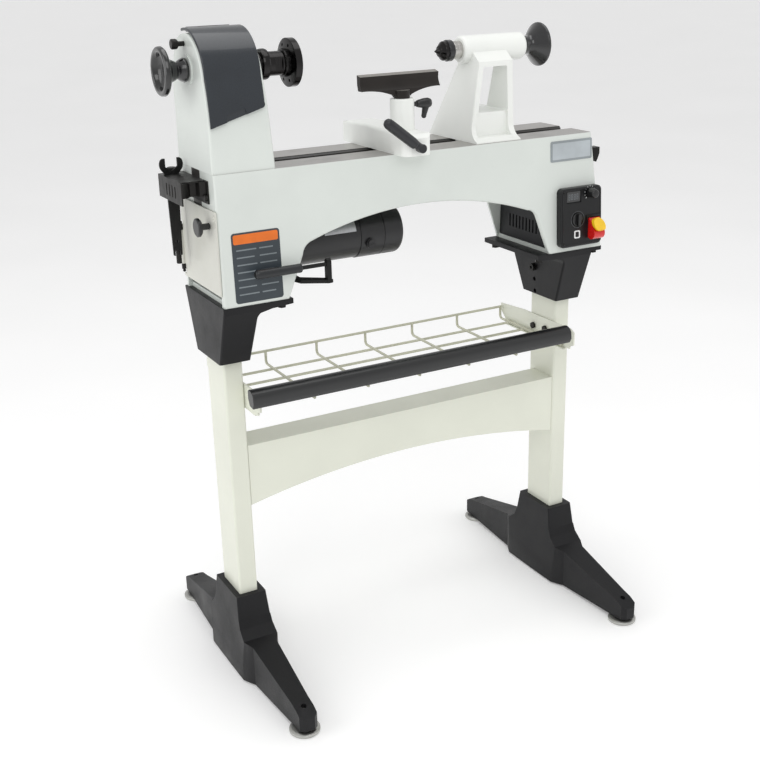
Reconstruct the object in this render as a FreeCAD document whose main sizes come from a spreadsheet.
import FreeCAD, Part
import os, math
import Sketcher
from FreeCAD import Vector, Rotation, Placement

# Wood lathe on its stand.  Millimetres, +Z up, floor at Z = 0, +X from the
# headstock towards the tailstock, -Y towards the operator.

doc = FreeCAD.newDocument("wood_lathe")
sheet = doc.addObject("Spreadsheet::Sheet", "dims")
_row = [0]


class Q:
    """A number together with the spreadsheet expression it comes from."""

    def __init__(self, v, e):
        self.v, self.e = float(v), e

    @staticmethod
    def of(a):
        return a if isinstance(a, Q) else Q(a, repr(round(float(a), 6)))

    def _op(self, o, s, f):
        o = Q.of(o)
        return Q(f(self.v, o.v), "(%s %s %s)" % (self.e, s, o.e))

    def __add__(self, o): return self._op(o, "+", lambda a, b: a + b)
    def __sub__(self, o): return self._op(o, "-", lambda a, b: a - b)
    def __mul__(self, o): return self._op(o, "*", lambda a, b: a * b)
    def __truediv__(self, o): return self._op(o, "/", lambda a, b: a / b)
    def __radd__(self, o): return Q.of(o) + self
    def __rsub__(self, o): return Q.of(o) - self
    def __rmul__(self, o): return Q.of(o) * self
    def __neg__(self): return Q(-self.v, "(-1 * %s)" % self.e)


def dim(alias, value, note=""):
    _row[0] += 1
    sheet.set("A%d" % _row[0], note or alias)
    sheet.set("B%d" % _row[0], str(value))
    sheet.setAlias("B%d" % _row[0], alias)
    return Q(value, "dims." + alias)


def val(a):
    return a.v if isinstance(a, Q) else float(a)


def bind(obj, prop, a):
    """Set a property and bind it to the sheet when it comes from there."""
    if isinstance(a, Q):
        obj.setExpression(prop, a.e)


# ---------------------------------------------------------------- sizes
frame_x = dim("frame_x", 372.2, "headstock end to the part's origin, along X")
swing_rad = dim("swing_rad", 158.75, "spindle axis above the bed")
bed_top = dim("bed_top", 948.0, "bed ways above the floor")
bed_len = dim("bed_len", 757.0, "bed length at the ways")
bed_half = dim("bed_half", 81.25, "half width of the bed at the ways")
bed_foot_half = dim("bed_foot_half", 91.0, "half width of the bed at its feet")
bed_low = dim("bed_low", 728.0, "underside of the bed's feet")
bed_wall = dim("bed_wall", 8.0, "bed wall thickness")
bed_deck = dim("bed_deck", 20.0, "thickness of the ways")
slot_half = dim("slot_half", 15.5, "half width of the bed slot")
head_len = dim("head_len", 111.0, "headstock length at the bed")
spin_z = bed_top + swing_rad

post_x = dim("post_x", 36.0, "post section along X")
post_y = dim("post_y", 82.0, "post section along Y")
post_wall = dim("post_wall", 2.5, "post wall")
post_at = dim("post_at", 26.0, "left post centre from the headstock end")
post_top = dim("post_top", 693.0, "top of the posts")
foot_top = dim("foot_top", 163.0, "top of the foot sockets")
pad_y = dim("pad_y", 266.8, "levelling feet each side of the centre plane")
pad_r = dim("pad_r", 27.5, "levelling pad radius")
pad_t = dim("pad_t", 9.0, "levelling pad thickness")
stud_r = dim("stud_r", 5.0, "levelling stud radius")

spindle_r = dim("spindle_r", 14.0, "spindle radius at the bearings")
nose_r = dim("nose_r", 12.7, "spindle nose radius")
bore_r = dim("bore_r", 4.8, "through bore radius")
hand_r = dim("hand_r", 39.5, "handwheel radius")
plate_r = dim("plate_r", 40.0, "faceplate radius")
plate_t = dim("plate_t", 15.0, "faceplate thickness")
pulley_gap = dim("pulley_gap", 0.4, "clearance under the belt")

motor_z = dim("motor_z", 802.0, "motor axis height")
motor_r = dim("motor_r", 45.0, "motor body radius")
motor_pivot_y = dim("motor_pivot_y", 62.0, "motor pivot rod behind the centre plane")
motor_pivot_z = dim("motor_pivot_z", 872.0, "motor pivot rod height")

quill_r = dim("quill_r", 15.8, "tailstock quill radius")
barrel_r = dim("barrel_r", 24.5, "tailstock barrel radius")
barrel_x = dim("barrel_x", 514.0, "tailstock barrel left end")
barrel_len = dim("barrel_len", 134.0, "tailstock barrel length")

rest_x = dim("rest_x", 358.0, "tool-rest post centre along the bed")
rest_y = dim("rest_y", -65.0, "tool-rest post centre across the bed")
rest_post_r = dim("rest_post_r", 12.7, "tool-rest post radius")
sleeve_r = dim("sleeve_r", 21.0, "banjo sleeve radius")
rest_len = dim("rest_len", 154.0, "tool-rest length")

run = dim("run_fit", 0.06, "radial clearance of a running fit")
clear = dim("clear_gap", 0.4, "gap between parts that move past each other")

doc.recompute()

_n = [0]


def uid(tag):
    _n[0] += 1
    return "%s_%03d" % (tag, _n[0])


def at(obj, x, y, z, rot=None):
    obj.Placement = Placement(Vector(val(x), val(y), val(z)), rot or Rotation())
    for c, a in zip("xyz", (x, y, z)):
        bind(obj, "Placement.Base." + c, a)
    return obj


# ---------------------------------------------------------------- solids
def box(x0, x1, y0, y1, z0, z1):
    """Box between two corners."""
    o = doc.addObject("Part::Box", uid("box"))
    for p, a in (("Length", Q.of(x1) - x0), ("Width", Q.of(y1) - y0), ("Height", Q.of(z1) - z0)):
        setattr(o, p, a.v)
        bind(o, p, a)
    return at(o, x0, y0, z0)


AXIS = {"X": Rotation(Vector(0, 1, 0), 90), "Y": Rotation(Vector(1, 0, 0), -90), "Z": Rotation(),
        "-X": Rotation(Vector(0, 1, 0), -90), "-Y": Rotation(Vector(1, 0, 0), 90), "-Z": Rotation(Vector(1, 0, 0), 180)}


def cyl(axis, r, length, x, y, z):
    """Cylinder that starts at a point and runs along an axis."""
    o = doc.addObject("Part::Cylinder", uid("cyl"))
    o.Radius, o.Height = val(r), val(length)
    bind(o, "Radius", r)
    bind(o, "Height", length)
    return at(o, x, y, z, AXIS[axis])


def cone(axis, r1, r2, length, x, y, z):
    o = doc.addObject("Part::Cone", uid("cone"))
    o.Radius1, o.Radius2, o.Height = val(r1), val(r2), val(length)
    bind(o, "Radius1", r1)
    bind(o, "Radius2", r2)
    bind(o, "Height", length)
    return at(o, x, y, z, AXIS[axis])


def sphere(r, x, y, z):
    o = doc.addObject("Part::Sphere", uid("ball"))
    o.Radius = val(r)
    bind(o, "Radius", r)
    return at(o, x, y, z)


def hexa(axis, af, length, x, y, z):
    """Hexagonal prism, af across flats."""
    o = doc.addObject("Part::Prism", uid("hex"))
    o.Polygon = 6
    o.Circumradius = val(af) / math.sqrt(3.0)
    o.Height = val(length)
    return at(o, x, y, z, AXIS[axis])


def fuse(*parts):
    parts = [p for p in parts if p is not None]
    if len(parts) == 1:
        return parts[0]
    o = doc.addObject("Part::MultiFuse", uid("fuse"))
    o.Shapes = list(parts)
    o.Refine = True
    return o


def cut(base, *tools):
    tool = fuse(*tools)
    o = doc.addObject("Part::Cut", uid("cut"))
    o.Base, o.Tool = base, tool
    o.Refine = True
    return o


def common(*parts):
    o = doc.addObject("Part::MultiCommon", uid("common"))
    o.Shapes = list(parts)
    o.Refine = True
    return o


def group(*parts):
    """Separate solids kept together in one node."""
    o = doc.addObject("Part::Compound", uid("group"))
    o.Links = list(parts)
    return o


def plane_of(body, role):
    for f in body.Origin.OriginFeatures:
        if f.Role == role:
            return f


def sketch_on(body, role, off, pts):
    """Closed outline.  pts: (u, v) or (u, v, (mu, mv)) where the edge that
    starts at the point is an arc through (mu, mv)."""
    sk = body.newObject("Sketcher::SketchObject", uid("outline"))
    sk.AttachmentSupport = (plane_of(body, role), "")
    sk.MapMode = "FlatFace"
    sk.AttachmentOffset = Placement(Vector(0, 0, val(off)), Rotation())
    bind(sk, "AttachmentOffset.Base.z", off)
    n = len(pts)
    geo = []
    for i in range(n):
        a, b = pts[i], pts[(i + 1) % n]
        pa, pb = Vector(val(a[0]), val(a[1]), 0), Vector(val(b[0]), val(b[1]), 0)
        if len(a) > 2:
            arc = Part.Arc(pa, Vector(val(a[2][0]), val(a[2][1]), 0), pb)
            geo.append((arc, pa))
        else:
            geo.append((Part.LineSegment(pa, pb), pa))
    ids = [sk.addGeometry(g, False) for g, _ in geo]
    ends = []
    for i, (g, pa) in enumerate(geo):
        if isinstance(g, Part.Arc):
            s = sk.getPoint(ids[i], 1)
            ends.append((1, 2) if (s - pa).Length < 1e-6 else (2, 1))
        else:
            ends.append((1, 2))
    cons, exprs = [], []
    for i in range(n):
        cons.append(Sketcher.Constraint("Coincident", ids[i], ends[i][1], ids[(i + 1) % n], ends[(i + 1) % n][0]))
    for i in range(n):
        for k, kind in ((0, "DistanceX"), (1, "DistanceY")):
            a = pts[i][k]
            cons.append(Sketcher.Constraint(kind, -1, 1, ids[i], ends[i][0], val(a)))
            if isinstance(a, Q):
                exprs.append((len(cons) - 1, a.e))
    sk.addConstraint(cons)
    for k, e in exprs:
        sk.setExpression("Constraints[%d]" % k, e)
    return sk


ROLE = {"XY": "XY_Plane", "XZ": "XZ_Plane", "YZ": "YZ_Plane"}


def prism(plane, pts, lo, hi):
    """Outline in a plane, padded between two stations along its normal axis."""
    b = doc.addObject("PartDesign::Body", uid("body"))
    lo, hi = Q.of(lo), Q.of(hi)
    off = -hi if plane == "XZ" else lo
    sk = sketch_on(b, ROLE[plane], off, pts)
    pad = b.newObject("PartDesign::Pad", uid("pad"))
    pad.Profile = sk
    pad.Length = (hi - lo).v
    bind(pad, "Length", hi - lo)
    return b


def turned(axis, pts, x, y, z):
    """Turned piece: outline of (station, radius) revolved about X, Y or Z."""
    b = doc.addObject("PartDesign::Body", uid("body"))
    if axis == "X":
        sk = sketch_on(b, "XZ_Plane", 0, pts)
        ref = "H_Axis"
    elif axis == "Y":
        sk = sketch_on(b, "XY_Plane", 0, [((p[1], p[0]) + ((((p[2][1], p[2][0])),) if len(p) > 2 else ())) for p in pts])
        ref = "V_Axis"
    else:
        sk = sketch_on(b, "XZ_Plane", 0, [((p[1], p[0]) + ((((p[2][1], p[2][0])),) if len(p) > 2 else ())) for p in pts])
        ref = "V_Axis"
    rv = b.newObject("PartDesign::Revolution", uid("turn"))
    rv.Profile = sk
    rv.ReferenceAxis = (sk, [ref])
    rv.Angle = 360.0
    b.Placement = Placement(Vector(val(x), val(y), val(z)), Rotation())
    for c, a in zip("xyz", (x, y, z)):
        bind(b, "Placement.Base." + c, a)
    return b


def fillet(obj, radius, pick):
    """Round the edges that pick(edge) chooses, leaving out any that the
    neighbouring faces are too small for."""
    doc.recompute()
    shape = obj.Shape
    idx = [i + 1 for i, e in enumerate(shape.Edges) if pick(e)]
    if not idx:
        raise RuntimeError("no edges to round on " + obj.Name)

    def works(ids):
        try:
            t = shape.makeFillet(val(radius), [shape.Edges[i - 1] for i in ids])
            return t.isValid() and not t.isNull() and t.Volume > 0.5 * shape.Volume
        except Exception:
            return False

    def keep(ids, base):
        if works(base + ids):
            return base + ids
        if len(ids) == 1:
            return base
        h = len(ids) // 2
        return keep(ids[h:], keep(ids[:h], base))
    good = keep(idx, [])
    if len(good) < len(idx):
        print("rounding", obj.Name, "kept", len(good), "of", len(idx), "edges")
    if not good:
        return obj
    o = doc.addObject("Part::Fillet", uid("round"))
    o.Base = obj
    o.Edges = [(i, val(radius), val(radius)) for i in good]
    return o


def chamfer(obj, size, pick):
    doc.recompute()
    idx = [i + 1 for i, e in enumerate(obj.Shape.Edges) if pick(e)]
    if not idx:
        raise RuntimeError("no edges to chamfer on " + obj.Name)
    o = doc.addObject("Part::Chamfer", uid("bevel"))
    o.Base = obj
    o.Edges = [(i, val(size), val(size)) for i in idx]
    return o


def along(axis, tol=0.02):
    """Edge test: a straight edge that runs along an axis."""
    a = {"X": Vector(1, 0, 0), "Y": Vector(0, 1, 0), "Z": Vector(0, 0, 1)}[axis]

    def test(e):
        if e.Curve.TypeId != "Part::GeomLine" or len(e.Vertexes) < 2:
            return False
        d = e.Vertexes[1].Point - e.Vertexes[0].Point
        return d.Length > 1e-6 and abs(abs(d.normalize().dot(a)) - 1) < tol
    return test


def mid(e):
    return e.valueAt((e.FirstParameter + e.LastParameter) / 2)


nodes = []


def node(name, obj):
    """Final sub-part: its own label, and a placement into the part's frame."""
    if obj.TypeId in ("Part::Box", "Part::Cylinder", "Part::Cone", "Part::Sphere", "Part::Prism"):
        obj = group(obj)
    obj.Label = name
    p = obj.Placement
    obj.Placement = Placement(Vector(p.Base.x - frame_x.v, p.Base.y, p.Base.z), p.Rotation)
    old = [e for e in obj.ExpressionEngine if e[0] == ".Placement.Base.x" or e[0] == "Placement.Base.x"]
    base = old[0][1] if old else repr(round(p.Base.x, 6))
    obj.setExpression("Placement.Base.x", "%s - dims.frame_x" % base)
    nodes.append((name, obj))
    return obj


def mirror_x(obj):
    """Mirror about the bed's middle plane."""
    o = doc.addObject("Part::Mirroring", uid("mirror"))
    o.Source = obj
    o.Normal = Vector(1, 0, 0)
    o.Base = Vector(bed_len.v / 2, 0, 0)
    bind(o, "Base.x", bed_len / 2)
    return o


# ================================================================ stand
def foot():
    """Cast foot: socket block with a leg to the front and one to the rear."""
    px = post_at
    side = prism("YZ", [(-292, 14), (-292, 38), (-270, 49), (-84, 88), (-66, 103), (-60, 118), (-52, foot_top),
                        (52, foot_top), (60, 118), (66, 103), (84, 88), (270, 49), (292, 38), (292, 14), (262, 10),
                        (96, 4, (0, 3)), (-96, 4), (-262, 10)], px - 45, px + 45)
    plan = prism("XY", [(px - 9, -292), (px + 9, -292), (px + 17, -284), (px + 17, -250), (px + 24, -104), (px + 37, -78),
                        (px + 37, 78), (px + 24, 104), (px + 17, 250), (px + 17, 284), (px + 9, 292), (px - 9, 292),
                        (px - 17, 284), (px - 17, 250), (px - 24, 104), (px - 37, 78), (px - 37, -78), (px - 24, -104),
                        (px - 17, -250), (px - 17, -284)], 0, foot_top + 5)
    front = prism("XZ", [(px - 38, 0), (px - 36, 50), (px - 29, foot_top), (px + 29, foot_top), (px + 36, 50), (px + 38, 0)], -300, 300)
    body = common(side, plan, front)
    body = fillet(body, 2.5, lambda e: mid(e).z > 12 and e.Length > 45 and not (mid(e).z > foot_top.v - 0.1)
                  and abs(mid(e).y) < 289)
    socket = box(px - post_x / 2 - 0.5, px + post_x / 2 + 0.5, -1 * post_y / 2 - 0.5, post_y / 2 + 0.5, 20, foot_top + 10)
    studs = [cyl("Z", stud_r + run, 80, px, s * pad_y, -5) for s in (-1, 1)]
    wells = [prism("YZ", [(s * 100, -5), (s * 100, 62), (s * 240, 34), (s * 240, -5)], px - 10, px + 10) for s in (-1, 1)]
    under = box(px - 26, px + 26, -70, 70, -5, 14)
    return cut(body, socket, *(studs + wells + [under]))


f = foot()
node("left_foot_casting", group(f))
node("right_foot_casting", group(mirror_x(f)))


def post():
    px = post_at
    o = box(px - post_x / 2, px + post_x / 2, -1 * post_y / 2, post_y / 2, 20.2, post_top)
    o = fillet(fuse(o, box(px - 1, px + 1, -1, 1, 300, 301)), 5, along("Z"))
    i = box(px - post_x / 2 + post_wall, px + post_x / 2 - post_wall, post_wall - post_y / 2, post_y / 2 - post_wall, 10, post_top + 5)
    i = fillet(fuse(i, box(px - 1, px + 1, -1, 1, 300, 301)), 3, along("Z"))
    return cut(o, i)


p = post()
node("left_post", group(p))
node("right_post", group(mirror_x(p)))
px_l, px_r = post_at, bed_len - post_at
in_l, in_r = post_at + post_x / 2, bed_len - post_at - post_x / 2   # inner faces of the posts

# arched sheet stretcher: web, top flange and end flanges
st_top = dim("stretch_top", 453.0, "stretcher top")
st_low = dim("stretch_low", 336.0, "stretcher lower edge at the posts")
st_mid = dim("stretch_mid", 372.0, "stretcher lower edge in the middle")
web = prism("XZ", [(in_l + 0.2, st_low, (bed_len / 2, st_mid)), (in_r - 0.2, st_low), (in_r - 0.2, st_top), (in_l + 0.2, st_top)], -38, -35.5)
top = box(in_l + 0.2, in_r - 0.2, -38, 26, st_top - 2.5, st_top)
lip = box(in_l + 0.2, in_r - 0.2, 23.5, 26, st_top - 22, st_top)
ends = [box(in_l + 0.2, in_l + 2.7, -38, 26, st_low + 2, st_top), box(in_r - 2.7, in_r - 0.2, -38, 26, st_low + 2, st_top)]
st_holes = [cyl("X", 3.05, 12, x - 6, -6, z) for x in (in_l, in_r) for z in (st_top.v - 35, st_low.v + 32)]
node("stretcher_panel", cut(fuse(web, top, lip, *ends), *st_holes))

# wire tray
wire_r = dim("wire_r", 2.6, "tray wire radius")
tray_z = dim("tray_z", 533.0, "tray floor height")
tray_rim = dim("tray_rim", 560.0, "tray rear rail height")
tray_y0, tray_y1 = -104.0, 138.0
tx0, tx1 = in_l + 6, in_r - 6
w = [cyl("X", wire_r, tx1 - tx0, tx0, y, tray_z) for y in (-62, -6, 50, 106)]
w += [cyl("X", wire_r, tx1 - tx0, tx0, tray_y1, tray_rim)]
cross_x = [val(tx0) + 3 + (val(tx1) - val(tx0) - 6) * k / 6.0 for k in range(7)]
for cx in cross_x:
    w.append(cyl("Y", wire_r, 209, cx, tray_y0 + 25, tray_z + 2))
    bend = doc.addObject("Part::Torus", uid("bend"))
    bend.Radius1, bend.Radius2 = 8.0, wire_r.v
    bind(bend, "Radius2", wire_r)
    bend.Angle3 = 90.0
    at(bend, cx, 130, tray_z + 10, Rotation(Vector(0, 0, -1), Vector(0, 1, 0), Vector(1, 0, 0), "ZXY"))
    w.append(bend)
    w.append(cyl("Z", wire_r, tray_rim - tray_z - 9, cx, tray_y1, tray_z + 10))
node("tray_wires", fuse(*w))

plates = []
for side, x0, x1 in (("left", in_l + 0.2, in_l + 3.2), ("right", in_r - 3.2, in_r - 0.2)):
    pl = prism("YZ", [(-108, 540), (-108, 566), (-96, 572), (60, 572), (144, 566), (144, 552), (120, 530), (-84, 530)], x0, x1)
    foot_tab = box(x0, x1, -96, 130, 530, 534)
    inner = (in_l + 0.2, in_l + 9) if side == "left" else (in_r - 9, in_r - 0.2)
    shelf = box(inner[0], inner[1], -84, 120, 526.2, 528.4)
    plates.append(cut(fuse(pl, foot_tab, shelf, box(x0, x1, -84, 120, 526.2, 531)), cyl("X", 3.05, 12, x0 - 4, 24, 548), cyl("X", 3.05, 12, x0 - 4, -16, 551)))
node("tray_end_plates", group(*plates))

# tray front rail: long moulded bar with a rounded nose
rail = prism("YZ", [(-131, 566), (-129.5, 578, (-124, 584.5)), (-108, 586.5), (-106, 583), (-106, 570), (-112, 558), (-126, 556)], in_l - 20, in_r - 25)
node("tray_front_rail", rail)

# bolts of the tray and the stretcher, heads inside, nuts inside the posts
bl = []
for sgn, face in ((1, in_l), (-1, in_r)):
    ax = "X" if sgn > 0 else "-X"
    for (y, z) in ((24, 548), (-16, 551)):
        s0 = face + sgn * 3.4
        bl.append(fuse(hexa(ax, 12, 5, s0, y, z), cyl("-X" if sgn > 0 else "X", 3, 3.2, s0, y, z)))
    for (y, z) in ((-6, st_top.v - 35), (-6, st_low.v + 32)):
        s0 = face + sgn * 2.9
        bl.append(fuse(hexa(ax, 12, 5, s0, y, z), cyl("-X" if sgn > 0 else "X", 3, 2.6, s0, y, z)))
node("stand_bolts", group(*bl))

# levelling feet: pad, stud and lock nut
k = 0
for px in (px_l, px_r):
    for s in (-1, 1):
        k += 1
        pad = turned("Z", [(0, 0), (0, pad_r - 2), (2, pad_r), (pad_t - 3, pad_r), (pad_t - 0.6, pad_r - 5), (pad_t, 10),
                           (pad_t, 7), (pad_t + 0.6, stud_r), (42, stud_r), (43.5, stud_r - 1.5), (43.5, 0)], px, s * pad_y, 0)
        node("levelling_foot_%d" % k, pad)


# ================================================================ brackets
def bracket():
    """Black casting that carries the bed and slides down over the post."""
    px = post_at
    front = prism("XZ", [(-3, bed_low), (124, bed_low), (124, bed_low - 9), (84, bed_low - 12), (68, bed_low - 16, (63, bed_low - 20)),
                         (60, bed_low - 27), (54, 619), (-3, 619)], -95, 95)
    side = prism("YZ", [(-92, bed_low), (-92, bed_low - 12), (-56, 619), (56, 619), (92, bed_low - 12), (92, bed_low)], -10, 130)
    b = common(front, side)
    b = fillet(b, 4, lambda e: mid(e).z < bed_low.v - 24 and e.Length > 60 and abs(e.Vertexes[0].Point.z - e.Vertexes[-1].Point.z) > 50)
    pocket = box(px - post_x / 2 - clear, px + post_x / 2 + clear, -1 * post_y / 2 - clear, post_y / 2 + clear, 600, bed_low - 7)
    holes = [cyl("X", 4.4 + run, 40, post_at + 15, 13, z) for z in (625, 650, 675, 700)]
    relief = [prism("YZ", [(s * 50, 640), (s * 76, bed_low - 14), (s * 50, bed_low - 14)], px - 15, px + 15) for s in (-1, 1)]
    return cut(b, pocket, *(holes + relief))


f = bracket()
node("left_bracket", group(f))
node("right_bracket", group(fuse(mirror_x(f), box(bed_len - 6, 783, -90.5, 90.5, bed_low - 8, bed_low))))
bl = [fuse(hexa("-Z", 13, 5.5, 772, y, bed_low - 8.4), cyl("Z", 3.9, 0.6, 772, y, bed_low - 8.8)) for y in (-78, 78)]
for px, sg in ((px_l, 1), (px_r, -1)):
    ax = "X" if sg > 0 else "-X"
    face = px + sg * (post_x / 2 + 0.8)
    b1 = fuse(cyl(ax, 4.4, 15, face, 13, 675), cut(cyl(ax, 7.5, 6.5, face + sg * 14.2, 13, 675), hexa(ax, 6, 5, face + sg * 17, 13, 675)))
    bl.append(b1)
    for y in (-74, 74):
        x = px + sg * 84
        bl.append(fuse(hexa("-Z", 13, 5.5, x, y, bed_low - 12.4), cyl("Z", 3.9, 0.6, x, y, bed_low - 12.8)))
hook = fuse(cyl("X", 4, 17, 762.6, -52, 901), prism("XZ", [(778, 911), (780, 914), (794, 914), (794, 902), (791, 894), (787, 886), (780, 888), (778, 892)], -61, -43))
node("lathe_bolts", group(*(bl + [hook])))

# ================================================================ bed
front = prism("XZ", [(0, bed_top), (0, bed_low), (119, bed_low), (149, bed_low + 71, (155, bed_low + 84)), (165, bed_low + 91, (390, bed_low + 129)),
                     (612, bed_low + 89, (625, bed_low + 84)), (632, bed_low + 74), (659, bed_low), (783, bed_low), (bed_len, bed_top)], -100, 100)
ends = prism("YZ", [(-1 * bed_half, bed_top), (-1 * bed_foot_half, bed_low), (bed_foot_half, bed_low), (bed_half, bed_top)], -5, 800)
outer = common(front, ends)
outer = fillet(outer, 4, lambda e: (abs(mid(e).y) > 80 and mid(e).z < bed_top.v - 5 and e.Length > 12 and mid(e).z > bed_low.v + 1))
inner_front = prism("XZ", [(bed_wall, bed_top - bed_deck), (bed_wall, bed_low - 5), (774, bed_low - 5), (bed_len - bed_wall, bed_top - bed_deck)], -95, 95)
inner_ends = prism("YZ", [(bed_wall - bed_half, bed_top - bed_deck), (bed_wall - bed_foot_half, bed_low - 5), (bed_foot_half - bed_wall, bed_low - 5),
                          (bed_half - bed_wall, bed_top - bed_deck)], -5, 800)
slot = prism("YZ", [(-1 * slot_half - 3, bed_top + 1), (-1 * slot_half - 3, bed_top - 1), (-1 * slot_half, bed_top - 4), (-1 * slot_half, 900), (slot_half, 900), (slot_half, bed_top - 4),
                    (slot_half + 3, bed_top - 1), (slot_half + 3, bed_top + 1)], 114, 800)
belt_hole = box(14, 90, -52, 52, 900, bed_top + 1)
door_hole = box(-5, 20, -74, 74, 756, 880)
door_slot = box(-5, 20, -80, 80, bed_low - 5, 746)
sole_l = common(box(bed_wall - 1, 118, -90, 90, bed_low, bed_low + 8), ends)
sole_r = common(box(660, 778, -90, 90, bed_low, bed_low + 8), ends)
bed = cut(outer, common(inner_front, inner_ends), slot, belt_hole, door_hole, door_slot)
cord_hole = cyl("X", 8.1, 30, 760, 30, 765)
box_hole = box(690, 740, -95, -70, 770, 820)
sole = cut(fuse(sole_l, sole_r), box(30, 90, -60, 60, 700, 760), box(690, 750, -60, 60, 700, 760))
lock_hole = cyl("Y", 5 + run, 40, 168, 65, bed_top - 60)
node("bed_casting", cut(fuse(bed, sole), box_hole, cord_hole, lock_hole))

# access door on the left end: pressed plate, swings about its rear edge
door = prism("YZ", [(-86, 748), (86, 748), (84, 889), (-80, 889, (-84, 887)), (-85, 884)], -3.2, -0.6)
door = fuse(door, box(-0.7, 1.6, -70, 70, 760, 762.5), box(-0.7, 1.6, -70, 70, 874, 876.5), cyl("Z", 4, 60, -4.6, 84, 770), box(-5, -2, 80, 84.5, 770, 830))
door = cut(door, box(-4, 1, 77.5, 90, 753, 769.95), box(-4, 1, 77.5, 90, 830.05, 847), cyl("Z", 2.06, 200, -4.6, 84, 700), cyl("X", 4.4, 20, -10, -56, 862), cyl("X", 2.6, 20, -10, -80, 878))
lugs = [fuse(cyl("Z", 4, 9.6, -4.6, 84, z), box(-6.5, 0, 81, 87.5, z, z + 9.6)) for z in (760, 830.4)]
lugs = cut(fuse(*lugs), cyl("Z", 2.0, 200, -4.6, 84, 700))
door_pin = fuse(cyl("Z", 2.0, 86, -4.6, 84, 757), sphere(2.8, -4.6, 84, 757), sphere(2.8, -4.6, 84, 843), lugs)
kn = turned("X", [(-27, 0), (-27, 13), (-25.5, 15.5), (-21.5, 15.5), (-19, 13), (-18, 5.4), (-4, 5.4), (-4, 4.2), (5.5, 4.2), (5.5, 0)], 0, -56, 862)
node("door_knob", fuse(kn, box(2.2, 5.4, -60, -52, 862, 876)))
door_screw = (fuse(cyl("X", 2.5, 3.0, -3.4, -80, 878), cut(turned("X", [(-5.6, 0), (-5.6, 2.6), (-4.8, 3.9), (-3.3, 4.4), (-3.3, 0)], 0, -80, 878), box(-6, -4.7, -84.5, -75.5, 877.4, 878.6))))
node("access_door", group(door, door_screw))

# ================================================================ headstock
hz = bed_top
head = prism("YZ", [(-79.5, hz), (-77, hz + 72, (-72.5, hz + 108)), (-64, hz + 145, (-46, hz + 190)), (-10, hz + 214, (24, hz + 212)), (60, hz + 189, (72, hz + 163)),
                    (80, hz + 86), (82.5, hz)], 0, head_len)
taper = prism("XZ", [(0, hz), (0, hz + 230), (102, hz + 230), (104, hz + 149), (107, hz + 73), (head_len, hz)], -95, 95)
head = common(head, taper)
head = fillet(head, 5, lambda e: mid(e).z > hz.v + 5)
inner = prism("YZ", [(-69, hz - 1), (-68, hz + 72, (-64, hz + 104)), (-55, hz + 140, (-40, hz + 178)), (-8, hz + 206, (20, hz + 205)), (50, hz + 180, (62, hz + 158)),
                     (70, hz + 86), (72, hz - 1)], 14, 92)
head = cut(head, inner)
# opening under the belt cover
mouth = prism("XZ", [(17, hz + 92), (86, hz + 110), (86, hz + 260), (17, hz + 260)], -95, 4)
bosses = [cyl("X", 34, 8, 9, 0, spin_z), cyl("X", 36, 14, 86, 0, spin_z), cyl("X", 24, 4, -2.5, 0, spin_z)]
head = fuse(cut(head, mouth), *bosses)
bores = [cyl("X", 19 + 0.02, 12, 6, 0, spin_z), cyl("X", 26 + 0.02, 15, 85, 0, spin_z), cyl("X", 15.5, 140, -10, 0, spin_z),
         cyl("X", 4.0 + run, 30, -5, 8, spin_z + 40.2), cyl("X", 21, 30, 96, 0, spin_z)]
hinge_seat = [cyl("X", 4.02, 33.2, 32.4, 25.5, hz + 219.5), box(32.95, 65.05, 22.45, 28.55, hz + 208.95, hz + 219.5), cyl("X", 2.05, 80, 9, 25.5, hz + 219.5)]
node("headstock_casting", cut(head, *(bores + hinge_seat)))

# belt cover: curved shell, hinged along its rear top edge
shell = prism("YZ", [(-86.5, hz + 64), (-83.5, hz + 72, (-79, hz + 110)), (-70.5, hz + 148, (-51, hz + 197)), (-11, hz + 221.5, (6, hz + 223.5)), (22, hz + 222),
                     (22, hz + 219, (6, hz + 220.5)), (-10.5, hz + 218.5, (-49, hz + 194.6)), (-67.7, hz + 147, (-76.2, hz + 109.4)), (-80.7, hz + 71.8), (-83.7, hz + 64)], 0, 110)
fullc = prism("YZ", [(-86.5, hz + 64), (-83.5, hz + 72, (-79, hz + 110)), (-70.5, hz + 148, (-51, hz + 197)), (-11, hz + 221.5, (6, hz + 223.5)), (22, hz + 222),
                     (22, hz + 214, (-2, hz + 215.6)), (-16, hz + 212.6, (-46, hz + 187)), (-62, hz + 146, (-70, hz + 108)), (-74, hz + 71), (-77, hz + 64)], 0, 110)
outl = prism("XZ", [(1.5, hz + 73), (92, hz + 99, (96, hz + 101)), (97.5, hz + 106), (98.5, hz + 230), (1.5, hz + 230)], -95, 40)
outl_in = prism("XZ", [(4.3, hz + 76.5), (92, hz + 102), (95, hz + 107), (95.8, hz + 232), (4.3, hz + 232)], -95, 60)
rim_out = prism("YZ", [(-84.6, hz + 64), (-79.8, hz + 72, (-75.4, hz + 109)), (-66.6, hz + 146, (-48.5, hz + 193)), (-10, hz + 217, (8, hz + 218.6)), (24, hz + 217), (24, hz + 225), (24, hz + 240), (-95, hz + 240), (-95, hz + 64)], 0, 110)
cover = common(fullc, outl, rim_out)
cover = cut(cover, common(cut(fullc, shell), outl_in))
cover = fuse(cover, common(shell, outl))
cover = fillet(cover, 1.6, lambda e: e.Length > 15 and mid(e).z > hz.v + 75 and (mid(e).x < 3.2 or mid(e).x > 96.5) and
               (abs(mid(e).y + 86) < 60 and mid(e).y < -40))
notch = prism("XZ", [(30, hz + 70), (30, hz + 92), (62, hz + 101), (66, hz + 88), (66, hz + 70)], -95, -79.6)
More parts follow.
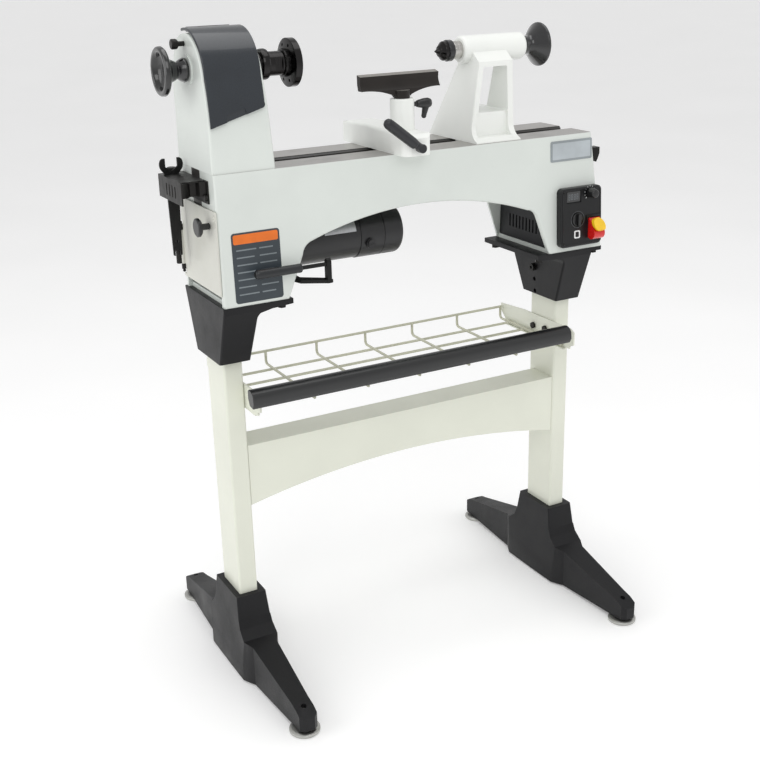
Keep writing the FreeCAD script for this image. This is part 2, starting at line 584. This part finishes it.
knuckles = fuse(cyl("X", 4, 20, 12, 25.5, hz + 219.5), cyl("X", 4, 20, 66, 25.5, hz + 219.5), box(12, 32, 20, 26, hz + 219, hz + 222), box(66, 86, 20, 26, hz + 219, hz + 222))
cover = cut(fuse(cut(cover, notch), knuckles), cyl("X", 2.06, 120, 0, 25.5, hz + 219.5), cyl("X", 4.8, 33.7, 32.15, 25.5, hz + 219.5))
node("headstock_cover", cover)
mid_k = cut(fuse(cyl("X", 4, 33, 32.5, 25.5, hz + 219.5), box(33, 65, 22.5, 28.5, hz + 209, hz + 219)), cyl("X", 2.0, 80, 10, 25.5, hz + 219.5))
node("hinge_pins", group(fuse(cyl("X", 2.0, 78, 10, 25.5, hz + 219.5), mid_k), door_pin))

# ================================================================ spindle
sp = turned("X", [(-18, bore_r), (-18, 12), (8, 12), (8, 12.4), (22, 12.4), (22, spindle_r), (86, spindle_r), (86, 16.6), (101, 16.6), (101, 19.5), (124, 19.5), (124, 24.5), (128, 25.5),
                  (133, 25.5), (136, 24.5), (136, 20), (163.8, 20), (163.8, nose_r), (184, nose_r), (184, bore_r + 2.6)], 0, 0, spin_z)
flats = cut(cyl("X", 26, 14, 146, 0, spin_z), box(140, 170, -17, 17, spin_z - 40, spin_z + 40))
index_holes = [cyl("X", 2.2, 8, 24, 41 * math.sin(math.radians(a + 11.26)), spin_z + 41 * math.cos(math.radians(a + 11.26))) for a in range(0, 360, 15)]
node("spindle", cut(sp, flats))
node("spindle_bearings", group(cut(cyl("X", 19, 11, 7, 0, spin_z), cyl("X", 12.4 + run, 20, 0, 0, spin_z)), cut(cyl("X", 26, 13.5, 86.2, 0, spin_z), cyl("X", 16.6 + run, 30, 80, 0, spin_z))))
pul = turned("X", [(26, spindle_r), (26, 44.5), (29, 44.5), (29, 23), (30.5, 21.5), (42, 21.5), (43.5, 23), (43.5, 33), (45, 31.5), (57, 31.5), (58.5, 33), (58.5, 43), (60, 41.5),
                   (72, 41.5), (73.5, 43), (75.5, 43), (75.5, 30), (82, 22), (82, spindle_r)], 0, 0, spin_z)
node("spindle_pulley", cut(pul, *index_holes))
hw = turned("X", [(-19, 13), (-22, 15.2), (-27, 17.5, (-34.5, 22.5)), (-38.5, 34, (-39.8, 37.5)), (-43, hand_r), (-47.5, hand_r - 0.8), (-49.2, hand_r - 2.6), (-49.6, hand_r - 4.6),
                  (-49.6, 32.4), (-48.8, 30.8), (-47, 29.4), (-41, 27, (-37.5, 22)), (-35.5, 12), (-30, 9.5), (-30, bore_r + 1.5), (-18.2, bore_r + 1.5), (-18.2, 12.02), (-4.2, 12.02), (-4.2, 19), (-8, 19.4), (-14, 16.5)], 0, 0, spin_z)
node("spindle_handwheel", hw)
fp = turned("X", [(164.0, nose_r + 0.02), (164.0, 22.5), (165, 23.5), (172, 23.5), (174, plate_r - 2), (175, plate_r), (186, plate_r), (187, plate_r - 1.2), (187, nose_r + 6), (184.5, nose_r + 5),
                  (184.5, nose_r + 0.02)], 0, 0, spin_z)
fholes = [cyl("X", 2.75, 40, 160, 30.5 * math.sin(math.radians(a)), spin_z + 30.5 * math.cos(math.radians(a))) for a in range(22, 382, 45)]
node("faceplate", cut(fp, *(fholes + [cyl("Z", 2.6, 16, 168.4, 0, spin_z + 12)])))
# index plunger
pl = turned("X", [(-22, 0), (-22, 6.6), (-21, 7.6), (-12.5, 7.6), (-11.5, 6.8), (-10.8, 4.2), (-9.4, 4.2), (-9.4, 4.0), (19.5, 4.0), (19.5, 2.0), (24.8, 2.0), (25.2, 1.6), (25.2, 0)], 0, 8, spin_z + 40.2)
node("index_plunger", cut(pl, *[cyl("X", 0.9, 10, -22.4, 8 + 8.1 * math.sin(math.radians(a)), spin_z + 40.2 + 8.1 * math.cos(math.radians(a))) for a in range(0, 360, 30)]))

# ================================================================ belt drive
mz = motor_z


def belt_loop(x0, x1, rt, rb, t):
    """Closed belt round the spindle pulley (above) and the motor pulley."""
    d = spin_z.v - mz.v
    sn = (rt - rb) / d
    cs = math.sqrt(1 - sn * sn)
    o1, o2 = rt + t, rb + t

    def ring(a, b):
        zt, zb = spin_z.v, mz.v
        return [(cs * a, zt - sn * a, (0, zt + a)), (-cs * a, zt - sn * a), (-cs * b, zb - sn * b, (0, zb - b)), (cs * b, zb - sn * b)]
    return cut(prism("YZ", ring(o1, o2), x0, x1), prism("YZ", ring(rt, rb), x0 - 1, x1 + 1))


node("drive_belt", belt_loop(46, 56, 32.0, 24.0, 4.2))
shaft = turned("X", [(20, 0), (20, 7), (21, 8), (26, 8), (26, 35), (27.5, 36), (28.8, 35), (28.8, 33.5), (41, 33.5), (42.5, 35), (43.5, 25.5), (44.8, 23.6), (57, 23.6), (58.5, 25), (59.3, 16), (60.5, 14.5), (72, 14.5),
                     (73.5, 18), (76, 18), (76, 8), (120, 8), (120, 20), (250, 20), (250, 6), (262, 6), (262, 0)], 0, 0, mz)
node("motor_rotor", shaft)
mb = turned("X", [(101, 8.4), (101, 30), (103, 38), (106, motor_r - 1.5), (283, motor_r - 1.5), (283, 30), (240, 30), (240, 26), (114, 26), (114, 8.4)], 0, 0, mz)
feet = fuse(box(120, 150, 20, 50, mz + 20, mz + 58), box(180, 210, 20, 50, mz + 20, mz + 58))
feet = cut(feet, cyl("X", motor_r - 2.5, 300, 50, 0, mz))
node("motor_body", fuse(mb, feet))
mc = turned("X", [(283.2, 24), (283.2, motor_r - 0.6), (284.5, motor_r), (328, motor_r), (328.6, motor_r - 0.9), (330.4, motor_r - 0.9), (331, motor_r), (361, motor_r, (368.6, motor_r - 2.8)), (371, motor_r - 9),
                  (371, 0), (362, 0), (362, motor_r - 5), (286, motor_r - 5), (286, 24)], 0, 0, mz)
brush = [fuse(cyl(a, 9, 8, 300, s * 41, mz - 12), cut(cyl(a, 7, 3, 300, s * 48.5, mz - 12), box(292, 308, s * 52 - 1.6, s * 52 + 1.6, mz - 13.2, mz - 10.8))) for a, s in (("-Y", -1), ("Y", 1))]
brush = [cut(b, cyl("X", motor_r - 3, 100, 260, 0, mz)) for b in brush]
vents = [box(337, 341 + 14, y - 1.6, y + 1.6, mz - 60, mz - 38) for y in (-20, -12, -4, 4, 12, 20)]
node("motor_end_cap", cut(fuse(mc, *brush), *vents))
pz, py = motor_pivot_z, motor_pivot_y
plate = prism("YZ", [(12, mz + 58), (60, mz + 58), (70, pz - 6), (66, pz + 7), (58, pz + 7), (54, pz - 2), (44, mz + 63), (12, mz + 63)], 112, 222)
plate = fuse(plate, cyl("X", 8, 110, 112, py, pz))
node("motor_mount_plate", cut(plate, cyl("X", 5.0 + run, 200, 80, py, pz)))
node("motor_pivot_rod", fuse(cyl("X", 5.0, 150, 98, py, pz), box(98, 106, py - 8, py + 8, pz - 10, bed_top - bed_deck - 0.5), box(240, 248, py - 8, py + 8, pz - 10, bed_top - bed_deck - 0.5)))
# tension lever: flat arm from the motor plate, rod and grip across the front
arm = prism("XY", [(128, -14), (150, -14), (150, -66), (192, -99), (192, -110), (182, -110), (142, -86), (136, -66)], mz - 53, mz - 47)
armup = prism("YZ", [(-14, mz - 53), (-14, mz - 47), (14, mz - 43.9), (20, mz - 47), (14, mz - 53)], 128, 150)
lug = prism("YZ", [(-111, mz - 53), (-100, mz - 53), (-100, mz - 14), (-105.5, mz - 10, (-109, mz - 12)), (-111, mz - 16)], 181, 189.5)
grip = turned("X", [(51, 0), (51, 3.5), (53, 5.6, (56, 6.6)), (60, 6.9), (128, 6.3), (134, 5.2), (137, 4.6), (137, 3.64), (60, 3.64), (60, 0)], 0, -105.5, mz - 20)
node("tension_lever", group(fuse(arm, armup, lug, cyl("-X", 3.6, 50, 184, -105.5, mz - 20)), grip))

lock = fuse(cyl("Y", 5, 22, 168, bed_half - 3, bed_top - 60), turned("Y", [(0, 0), (0, 9), (3, 10), (16, 10), (19, 8), (19, 0)], 168, bed_half + 6, bed_top - 60),
            cone("-X", 8, 5.5, 62, 165, bed_half + 15, bed_top - 60), sphere(5.7, 103, bed_half + 15, bed_top - 60))
node("motor_lock_lever", lock)

# ================================================================ tailstock
tz = bed_top + 0.15
t_side = prism("YZ", [(-75, tz), (-73.5, tz + 3, (-56, tz + 14)), (-50, tz + 34), (-45, tz + 139), (-18, tz + 160), (20, tz + 160), (26, tz + 134), (92, tz + 6), (93, tz)], 490, 620)
t_front = prism("XZ", [(505, tz), (506, tz + 6), (528, tz + 134), (528, tz + 160), (600, tz + 160), (600, tz)], -120, 120)
tb = common(t_side, t_front)
tb = fillet(tb, 4, lambda e: mid(e).z < tz.v + 128 and mid(e).z > tz.v + 1 and e.Length > 20)
win = prism("XZ", [(524.5, tz + 52), (537, tz + 126, (539, tz + 129)), (543, tz + 130), (584, tz + 130, (587, tz + 129)), (588.5, tz + 125), (588.5, tz + 52), (586, tz + 50), (527, tz + 50)], -120, 120)
rec_f = prism("XZ", [(516, tz + 8), (522, tz + 50), (588.5, tz + 50), (588.5, tz + 8)], -120, -44)
rec_r = prism("XZ", [(516, tz + 8), (522, tz + 50), (588.5, tz + 50), (588.5, tz + 8)], 60, 120)
rear_open = prism("YZ", [(-2, tz + 129), (130, tz + 129), (130, tz + 51), (21, tz + 51)], 580, 620)
barrel = turned("X", [(0, 0), (0, barrel_r - 4), (2.5, barrel_r - 0.8), (5, barrel_r), (barrel_len - 5, barrel_r), (barrel_len - 1.5, barrel_r - 1.5), (barrel_len, barrel_r - 4.5), (barrel_len, 0)], barrel_x, 0, spin_z)
neck = prism("YZ", [(-20, tz + 128), (-23, tz + 150), (23, tz + 150), (20, tz + 128)], 530, 598)
tongue = box(516, 590, -1 * slot_half + 0.6, slot_half - 0.6, bed_top - 6, bed_top + 4)
ts = fuse(cut(tb, win, rec_f, rec_r, rear_open), barrel, neck, tongue)
ts = cut(ts, cyl("X", quill_r + run, 122.5, 500, 0, spin_z), cyl("X", 8 + run, 80, 600, 0, spin_z), cyl("X", 12.5, 20, 637, 0, spin_z),
         cyl("Y", 7 + run, 90, 556, 20, tz + 28), box(544, 568, -24, 24, bed_top - 20, tz + 44), cyl("Y", 5 + run, 40, 560, 5, spin_z), cyl("Y", 2.2, 12, 511.5, -80, tz + 32))
ts = fuse(ts, box(528, 538, -1.7, 1.7, spin_z - barrel_r + 1.5, spin_z - 13.8))
node("tailstock_casting", ts)
node("tailstock_clamp_plate", fuse(box(531, 581, -34, 34, bed_top - bed_deck - 12.5, bed_top - bed_deck - 0.6), cyl("Z", 6, 39, 556, 0, bed_top - bed_deck - 5),
                                   cut(box(546, 566, -20, 20, tz + 12, tz + 42), cyl("Y", 7.5, 60, 556, -30, tz + 28)),
                                   hexa("-Z", 19, 9, 556, 0, bed_top - bed_deck - 12.5)))
lev = fuse(cyl("Y", 7, 113, 556, -18, tz + 28), turned("Y", [(0, 0), (0, 11), (2, 12), (12, 12), (14, 10), (14, 0)], 556, 94, tz + 28),
           cone("-Z", 5, 6.5, 78, 556, 102, tz + 20), sphere(6.8, 556, 102, tz - 60))
node("tailstock_clamp_lever", lev)
qd = turned("X", [(497.9, 9.4), (497.9, quill_r - 1), (498.9, quill_r), (620, quill_r), (621, quill_r - 1), (621, 8.2), (573, 8.2), (573, 6.6), (571, 6.6)], 0, 0, spin_z)
node("quill", cut(qd, box(524, 600, -2.2, 2.2, spin_z - 20, spin_z - 13.4)))
qs = turned("X", [(579, 0), (579, 7), (580, 7.9), (637.2, 7.9), (637.2, 12.2), (647, 12.2), (647, 8.0), (664.2, 8.0), (664.2, 0)], 0, 0, spin_z)
th = turned("X", [(649, 8.0), (649, 16.5), (652, 17.6), (660, 16.4, (664, 17)), (668, 20), (685.5, hand_r - 0.8, (688, hand_r)), (690.5, hand_r - 0.6), (691.2, hand_r - 4, (689, hand_r - 8)),
                  (686, hand_r - 11, (679, 15)), (674, 11), (672, 5), (672, 0), (664.2, 0), (664.2, 8.0)], 0, 0, spin_z)
node("tailstock_handwheel", fuse(th, qs))
ql = fuse(cyl("Y", 5, 26, 560, 16.3, spin_z), turned("Y", [(0, 0), (0, 8), (2, 9), (12, 9), (14, 7), (14, 0)], 560, 28, spin_z), cone("X", 6, 4.5, 44, 564, 36, spin_z), sphere(5, 608, 36, spin_z))
node("quill_lock_lever", ql)
ar = turned("X", [(485.5, 6.1), (485.5, 17.5), (487, 19), (495.4, 19), (497.2, 17.5), (497.5, 9.3), (571, 6.5), (571, 0), (495.6, 0), (495.6, 6.1)], 0, 0, spin_z)
node("live_centre_body", ar)
lp = turned("X", [(462.8, 0), (462.8, 0.6), (471, 6.0), (471.6, 9.5), (473, 10.4), (478.5, 16.4), (480, 17), (485.1, 17), (485.1, 6.04), (495.2, 6.04), (495.2, 0)], 0, 0, spin_z)
node("live_centre_point", lp)

# ================================================================ banjo
bzr = bed_top + 0.15
cx = rest_x + 1
plan = prism("XY", [(332.5, 108, (335, 117)), (344, 121), (374, 121, (383, 117)), (385.5, 108), (386, -104, (383, -115)), (374, -119.5), (346, -119.5, (335, -114)), (331.5, -102)], bzr, bzr + 60)
prof = prism("YZ", [(-125, bzr), (-125, bzr + 26), (-108, bzr + 36), (-60, bzr + 40), (20, bzr + 42), (90, bzr + 40), (125, bzr + 34), (125, bzr)], 320, 400)
bj = common(plan, prof)
bj = fillet(bj, 7, lambda e: mid(e).z > bzr.v + 20 and e.Length > 8)
bj = fuse(bj, cyl("Z", sleeve_r, 88, rest_x, rest_y, bzr + 4))
bj = fillet(bj, 1.5, lambda e: abs(mid(e).z - bzr.v - 92) < 0.2)
bj = cut(bj, cyl("Z", rest_post_r + run, 100, rest_x, rest_y, bzr + 26), box(cx - 13.5, cx + 13.5, -42, 104, bzr + 4, bzr + 26.5), box(cx - 6.6, cx + 6.6, -42, 104, bzr - 1, bzr + 5),
         cyl("Y", 6.0 + run, 300, cx, -150, bzr + 14), cyl("X", 4.0 + run, 40, rest_x + 5, rest_y, bzr + 80))
node("banjo_casting", bj)
node("banjo_clamp_plate", cut(box(cx - 24, cx + 24, -38, 38, bed_top - bed_deck - 13, bed_top - bed_deck - 0.6), cyl("Z", 6.2 + run, 60, cx, 0, 880)))
blk = fuse(cut(box(cx - 12.8, cx + 12.8, -11, 11, bzr + 4.6, bzr + 26), cyl("Y", 6.1, 60, cx, -30, bzr + 14)), cyl("Z", 6.0, 39, cx, 0, bed_top - bed_deck - 14), hexa("-Z", 19, 9, cx, 0, bed_top - bed_deck - 13.4))
blk = cut(blk, cyl("Y", 6.1, 60, cx, -30, bzr + 14))
node("banjo_clamp_bolt", blk)
cl = turned("Y", [(-135, 0), (-135, 6.2), (-133.5, 7.6), (-122, 7.6), (-120, 7.2), (-120, 6.0), (99, 6.0), (100, 5), (100, 0)], cx, 0, bzr + 14)
gr = cone("Z", 6.6, 7.4, 66, 0, 0, 0)
gr.setExpression("Placement.Base.x", None)
gr.setExpression("Placement.Base.y", None)
gr.setExpression("Placement.Base.z", None)
gr.Placement = Placement(Vector(rest_x.v - 3, -127.5, bzr.v + 17), Rotation(Vector(0, 1, 0), -52.5))
grb = sphere(7.5, rest_x - 3 - 66 * math.sin(math.radians(52.5)), -127.5, bzr + 17 + 66 * math.cos(math.radians(52.5)))
node("banjo_clamp_lever", fuse(cl, gr, grb))

# tool rest: blade with a post
rz = bed_top
rtop = rz + 134.2
blade = prism("YZ", [(-47.5, rtop), (-59.5, rtop - 3), (-58.5, rtop - 12, (-60, rtop - 18)), (-66, rtop - 27), (-71, rtop - 38), (-60, rtop - 40.5), (-52, rtop - 30), (-48, rtop - 16)], rest_x - rest_len / 2, rest_x + rest_len / 2)
face = prism("XZ", [(rest_x - rest_len / 2, rtop + 1), (rest_x - rest_len / 2, rtop - 26.5, (rest_x - 48, rtop - 28)), (rest_x - 16, rtop - 36.5), (rest_x - 14, rtop - 40), (rest_x + 14, rtop - 40), (rest_x + 16, rtop - 36.5, (rest_x + 48, rtop - 28)),
                    (rest_x + rest_len / 2, rtop - 26.5), (rest_x + rest_len / 2, rtop + 1)], -90, -30)
blade = common(blade, face)
tr = cut(fuse(blade, cyl("Z", 14, 13, rest_x, rest_y, bzr + 92.6)), cyl("Z", 7 + run, 12, rest_x, rest_y, bzr + 90))
node("tool_rest_post", fuse(cyl("Z", rest_post_r, 64.8, rest_x, rest_y, bzr + 27.5), cyl("Z", 7, 8, rest_x, rest_y, bzr + 92.3)))
node("tool_rest", tr)
ll = fuse(cyl("X", 4.0, 23, rest_x + 12.9, rest_y, bzr + 80), turned("X", [(0, 0), (0, 5.5), (3, 6.5), (14, 8.6), (22, 8.8), (27, 7), (28.5, 3), (28.5, 0)], rest_x + 29, rest_y, bzr + 80))
gb = cone("-Z", 7.2, 4.2, 24, 0, 0, 0)
gb.Placement = Placement(Vector(rest_x.v + 49, rest_y.v, bzr.v + 82), Rotation(Vector(0, 1, 0), 194))
gbb = sphere(4.6, rest_x + 43.2, rest_y, bzr + 58.7)
node("tool_rest_lock_lever", fuse(ll, gb, gbb))

# ================================================================ controls


def face_y(z):
    return -1 * bed_half - (bed_top - z) * (bed_foot_half - bed_half) / (bed_top - bed_low)


def face_slab(z0, z1, t0, t1):
    """Strip lying on the bed's sloped front, between two offsets from it."""
    return [(face_y(z0) - t0, z0), (face_y(z1) - t0, z1), (face_y(z1) - t1, z1), (face_y(z0) - t1, z0)]


cb = common(prism("XZ", [(676, 748, (678.5, 741)), (685, 738), (764, 738, (770.5, 741)), (773, 748), (772, 840, (769.5, 847)), (763, 850), (685, 850, (678.5, 847)), (676, 840)], -110, -70),
            prism("YZ", [(face_y(Q.of(730)) - 0.1, 730), (face_y(Q.of(856)) - 0.1, 856), (-99, 856), (-104.5, 730)], 670, 780))
cb = fillet(cb, 3, lambda e: mid(e).y < -97 and e.Length > 5)
cb = cut(cb, box(689, 723, -110, -98.0, 822, 845), cyl("-Y", 13.5, 20, 715, -99.5, 790), cyl("-Y", 4.1, 30, 744, -95, 838), cyl("-Y", 3.1, 30, 715, -93, 790), box(735.5, 768.5, -120, -97, 748, 795))
pf = cut(box(735, 769, -103.9, -96.5, 747.5, 795.5), box(739, 765, -110, -100.5, 751.5, 791.5))
node("control_box", fuse(cb, pf))
kb = turned("Y", [(-117, 0), (-117, 6.5), (-116, 7.6), (-106, 8.6), (-104.5, 9.4), (-102.2, 9.4), (-102.2, 4.0), (-96, 4.0), (-96, 0)], 744, 0, 838)
node("speed_knob", cut(kb, box(743.4, 744.6, -120, -116.2, 839, 847)))
node("direction_switch", fuse(turned("Y", [(-103.5, 0), (-103.5, 10.5), (-102.5, 12), (-100, 12.6), (-99.7, 12.6), (-99.7, 3.0), (-93.5, 3.0), (-93.5, 0)], 715, 0, 790), box(712, 718, -109, -103, 779, 801)))
pdl = prism("YZ", [(-100.9, 754), (-104, 753, (-121, 755)), (-118, 772), (-106, 790), (-100.9, 790)], 739.6, 764.4)
node("paddle_switch", cut(pdl, cyl("-Y", 5.3, 24, 751, -107, 778)))
key_head = common(prism("YZ", [(-125.4, 767.3), (-110.9, 788.9), (-115.9, 792.3), (-130.4, 770.6)], 735, 770), cyl("-Y", 12.5, 40, 751, -100, 779.5))
key = fuse(key_head, cyl("-Y", 5, 14, 751, -107.3, 778))
node("paddle_key", key)
vp = prism("YZ", [(-80, 736.3), (-75, 846), (75, 846), (80, 736.3)], 661, 663.4)
vp = (cut(vp, *[box(655, 670, y - 2.1, y + 2.1, 758, 783) for y in range(-44, 45, 11)]))
ctl = fuse(box(672, 735, 10, 76, 762, 768), *[box(672, 735, y, y + 3, 767, 812) for y in (10, 21, 32, 43, 54, 65, 73)])
ctl = fuse(ctl, box(676, 682, 10, 76, 736.2, 764), box(726, 732, 10, 76, 736.2, 764), box(672, 735, 10, 76, 736.2, 739))
gl = turned("X", [(764, 5), (764, 8), (780.9, 8), (780.9, 12), (784, 12), (785, 11), (789, 9), (791.5, 6.5), (791.5, 5)], 0, 30, 765)
node("speed_controller", group(vp, ctl, gl))
holder = fuse(box(-2.7, -0.1, -57, 62, 898, 935.5), box(-44.5, -0.2, -44, 62, 933, 935.5), cut(box(-44.5, -42, -50, 62, 898, 935.5), *[box(-50, -40, y, y + 4, 906, 926) for y in (-22, -8, 6, 20)]))
ret = prism("XY", [(-42.2, -50), (-42.2, -47.5), (-34, -44), (-27, -36), (-14, -36), (-10, -44), (-2.5, -47), (-2.5, -49.6), (-12, -46.6), (-15.5, -38.5), (-25.5, -38.5), (-32, -46)], 910, 934)
holder = cut(fuse(holder, ret), box(-40, -13, 41.8, 48.2, 925, 940), cyl("Z", 5.3, 30, -22, 56, 920), cyl("X", 3.1, 20, -10, -52, 908), cyl("X", 3.1, 20, -10, 30, 916))
holder_bolts = (group(*[fuse(turned("X", [(-7.4, 0), (-7.4, 5), (-6.4, 5.8), (-2.8, 5.8), (-2.8, 3.0), (-0.2, 3.0), (-0.2, 0)], 0, y, z)) for y, z in ((-52, 908), (30, 916))]))
node("tool_holder", group(holder, holder_bolts))
wr = prism("XZ", [(-44, 960, (-46.5, 950)), (-42.5, 941, (-40, 938)), (-38.5, 936), (-37.5, 930), (-34.5, 796), (-31.5, 795), (-31.5, 801, (-27, 806)), (-22.5, 801), (-22.5, 795), (-19, 796), (-15.5, 930), (-14.5, 936, (-12, 938)),
                  (-9.5, 941, (-5.5, 950)), (-8, 960), (-11, 962), (-15.5, 962), (-15.5, 948), (-26, 940.5), (-36.5, 948), (-36.5, 962), (-41, 962)], 43, 47)
node("spindle_wrench", cut(wr, cyl("Y", 3.2, 20, -27, 35, 820)))
node("knockout_rod", turned("Z", [(778, 0), (778, 4), (779, 4.7), (935.8, 4.7), (935.8, 8), (937, 9), (943, 9), (945, 7), (945, 0)], -22, 56, 0))

# ---------------------------------------------------------------- write
doc.recompute()
for o in doc.Objects:
    if "Invalid" in o.State or "Error" in o.State:
        raise RuntimeError("%s (%s) is in state %s" % (o.Name, o.Label, o.State))
if len(nodes) > 60:
    raise RuntimeError("too many sub-parts: %d" % len(nodes))
os.makedirs("parts", exist_ok=True)
lo, hi = [1e9] * 3, [-1e9] * 3
for name, obj in nodes:
    s = obj.Shape
    if s.isNull() or not s.isValid() or not s.Solids:
        raise RuntimeError("bad shape: " + name)
    s.exportStep(os.path.join("parts", name + ".step"))
    b = s.optimalBoundingBox()
    lo = [min(a, c) for a, c in zip(lo, (b.XMin, b.YMin, b.ZMin))]
    hi = [max(a, c) for a, c in zip(hi, (b.XMax, b.YMax, b.ZMax))]
print("sub-parts", len(nodes))
print("overall", [round(a, 2) for a in lo], [round(a, 2) for a in hi])
